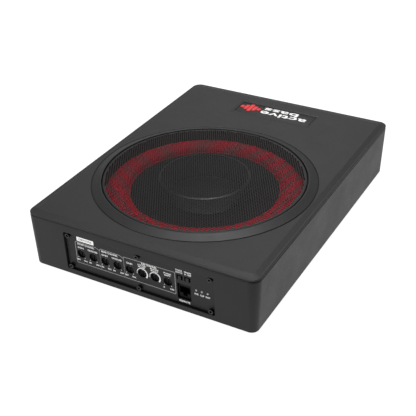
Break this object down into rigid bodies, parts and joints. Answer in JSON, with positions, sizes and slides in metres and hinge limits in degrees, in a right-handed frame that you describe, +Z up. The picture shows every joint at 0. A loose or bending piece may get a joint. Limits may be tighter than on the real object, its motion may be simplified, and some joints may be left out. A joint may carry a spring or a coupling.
{
  "type": "powered car subwoofer",
  "caption": "Low-profile powered subwoofer for a car: shallow black box, round grille over a red-edged driver, control panel with knobs, switches and remote socket at one end.",
  "frame": {"origin": "under the middle of the box, on the surface that its feet stand on", "axes": "+Z up, -Y towards the control panel end, +Y towards the connector end, +X to the right of someone who faces the control panel"},
  "size_m": [0.27, 0.3666, 0.0719],
  "materials": {
    "textured_black_casting": "black textured powder coat on a casting",
    "textured_black_cover": "black, finely textured moulding",
    "satin_black": "satin black moulding",
    "black_plate": "black painted sheet with white screen print",
    "black_steel": "black powder coated steel",
    "black_fastener": "black oxide",
    "black_rubber": "matte rubber",
    "red_rubber": "red rubber, semi-matte",
    "black_cone": "black pressed fibre",
    "motor_steel": "zinc plated",
    "ferrite": "matte ceramic magnet",
    "copper": "enamelled copper wire",
    "former": "brown film",
    "spider_cloth": "resin dipped cotton",
    "circuit_board": "green solder mask",
    "heat_sink": "plain extruded",
    "lens": "diffused white",
    "fuse": "orange",
    "capacitor": "blue sleeve"
  },
  "bodies": {
    "enclosure": {"housing_tub": "textured_black_casting", "top_cover": "textured_black_cover", "badge_plate": "satin_black", "grille": "black_steel", "driver_gasket": "black_rubber", "basket": "black_steel", "surround": "red_rubber", "spider": "spider_cloth", "motor_top_plate": "motor_steel", "magnet": "ferrite", "pole_yoke": "motor_steel", "control_plate": "black_plate", "remote_jack": "satin_black", "control_board": "circuit_board", "connector_plate": "black_plate", "power_socket": "satin_black", "speaker_level_socket": "satin_black", "rca_input_block": "satin_black", "fuse_holder": "satin_black", "fuse_1": "fuse", "fuse_2": "fuse", "amplifier_board": "circuit_board", "heat_sink": "heat_sink", "power_toroid": "copper", "capacitor_1": "capacitor", "capacitor_2": "capacitor", "foot_1": "black_rubber", "connector_screw_1": "black_fastener", "foot_2": "black_rubber", "connector_screw_2": "black_fastener", "foot_3": "black_rubber", "connector_screw_3": "black_fastener", "foot_4": "black_rubber", "connector_screw_4": "black_fastener", "panel_screw_1": "black_fastener", "panel_screw_2": "black_fastener", "panel_screw_3": "black_fastener", "panel_screw_4": "black_fastener", "panel_screw_5": "black_fastener", "panel_screw_6": "black_fastener", "led_1": "lens", "led_2": "lens", "led_3": "lens"},
    "driver_diaphragm": {"cone": "black_cone", "dust_cap": "black_cone", "voice_coil_former": "former", "voice_coil": "copper"},
    "control_knob_1": {"knob_1": "satin_black"},
    "control_knob_2": {"knob_2": "satin_black"},
    "control_knob_3": {"knob_3": "satin_black"},
    "control_knob_4": {"knob_4": "satin_black"},
    "control_knob_5": {"knob_5": "satin_black"},
    "control_knob_6": {"knob_6": "satin_black"},
    "control_knob_7": {"knob_7": "satin_black"},
    "control_knob_8": {"knob_8": "satin_black"},
    "switch_lever_1": {"slide_switch_1": "satin_black"},
    "switch_lever_2": {"slide_switch_2": "satin_black"}
  },
  "joints": [
    {"name": "knob_1_turn", "type": "hinge", "parent": "enclosure", "child": "control_knob_1", "pos_m": [-0.0702, -0.18226, 0.031], "axis": [0, -0.9995, -0.0331], "range_deg": [-150, 150]},
    {"name": "knob_2_turn", "type": "hinge", "parent": "enclosure", "child": "control_knob_2", "pos_m": [-0.0552, -0.18226, 0.031], "axis": [0, -0.9995, -0.0331], "range_deg": [-150, 150]},
    {"name": "knob_3_turn", "type": "hinge", "parent": "enclosure", "child": "control_knob_3", "pos_m": [-0.0402, -0.18226, 0.031], "axis": [0, -0.9995, -0.0331], "range_deg": [-150, 150]},
    {"name": "knob_4_turn", "type": "hinge", "parent": "enclosure", "child": "control_knob_4", "pos_m": [-0.0252, -0.18226, 0.031], "axis": [0, -0.9995, -0.0331], "range_deg": [-150, 150]},
    {"name": "knob_5_turn", "type": "hinge", "parent": "enclosure", "child": "control_knob_5", "pos_m": [-0.0102, -0.18226, 0.031], "axis": [0, -0.9995, -0.0331], "range_deg": [-150, 150]},
    {"name": "knob_6_turn", "type": "hinge", "parent": "enclosure", "child": "control_knob_6", "pos_m": [0.0048, -0.18226, 0.031], "axis": [0, -0.9995, -0.0331], "range_deg": [-150, 150]},
    {"name": "knob_7_turn", "type": "hinge", "parent": "enclosure", "child": "control_knob_7", "pos_m": [0.0198, -0.18226, 0.031], "axis": [0, -0.9995, -0.0331], "range_deg": [-150, 150]},
    {"name": "knob_8_turn", "type": "hinge", "parent": "enclosure", "child": "control_knob_8", "pos_m": [0.0348, -0.18226, 0.031], "axis": [0, -0.9995, -0.0331], "range_deg": [-150, 150]},
    {"name": "switch_1_slide", "type": "slide", "parent": "enclosure", "child": "switch_lever_1", "axis": [1, 0, 0], "range_m": [-0.0016, 0.0016]},
    {"name": "switch_2_slide", "type": "slide", "parent": "enclosure", "child": "switch_lever_2", "axis": [1, 0, 0], "range_m": [-0.0016, 0.0016]},
    {"name": "cone_travel", "type": "slide", "parent": "enclosure", "child": "driver_diaphragm", "axis": [0, 0, 1], "range_m": [-0.005, 0.005], "stiffness_N_per_m": 5000, "deforming": ["surround", "spider"]}
  ]
}
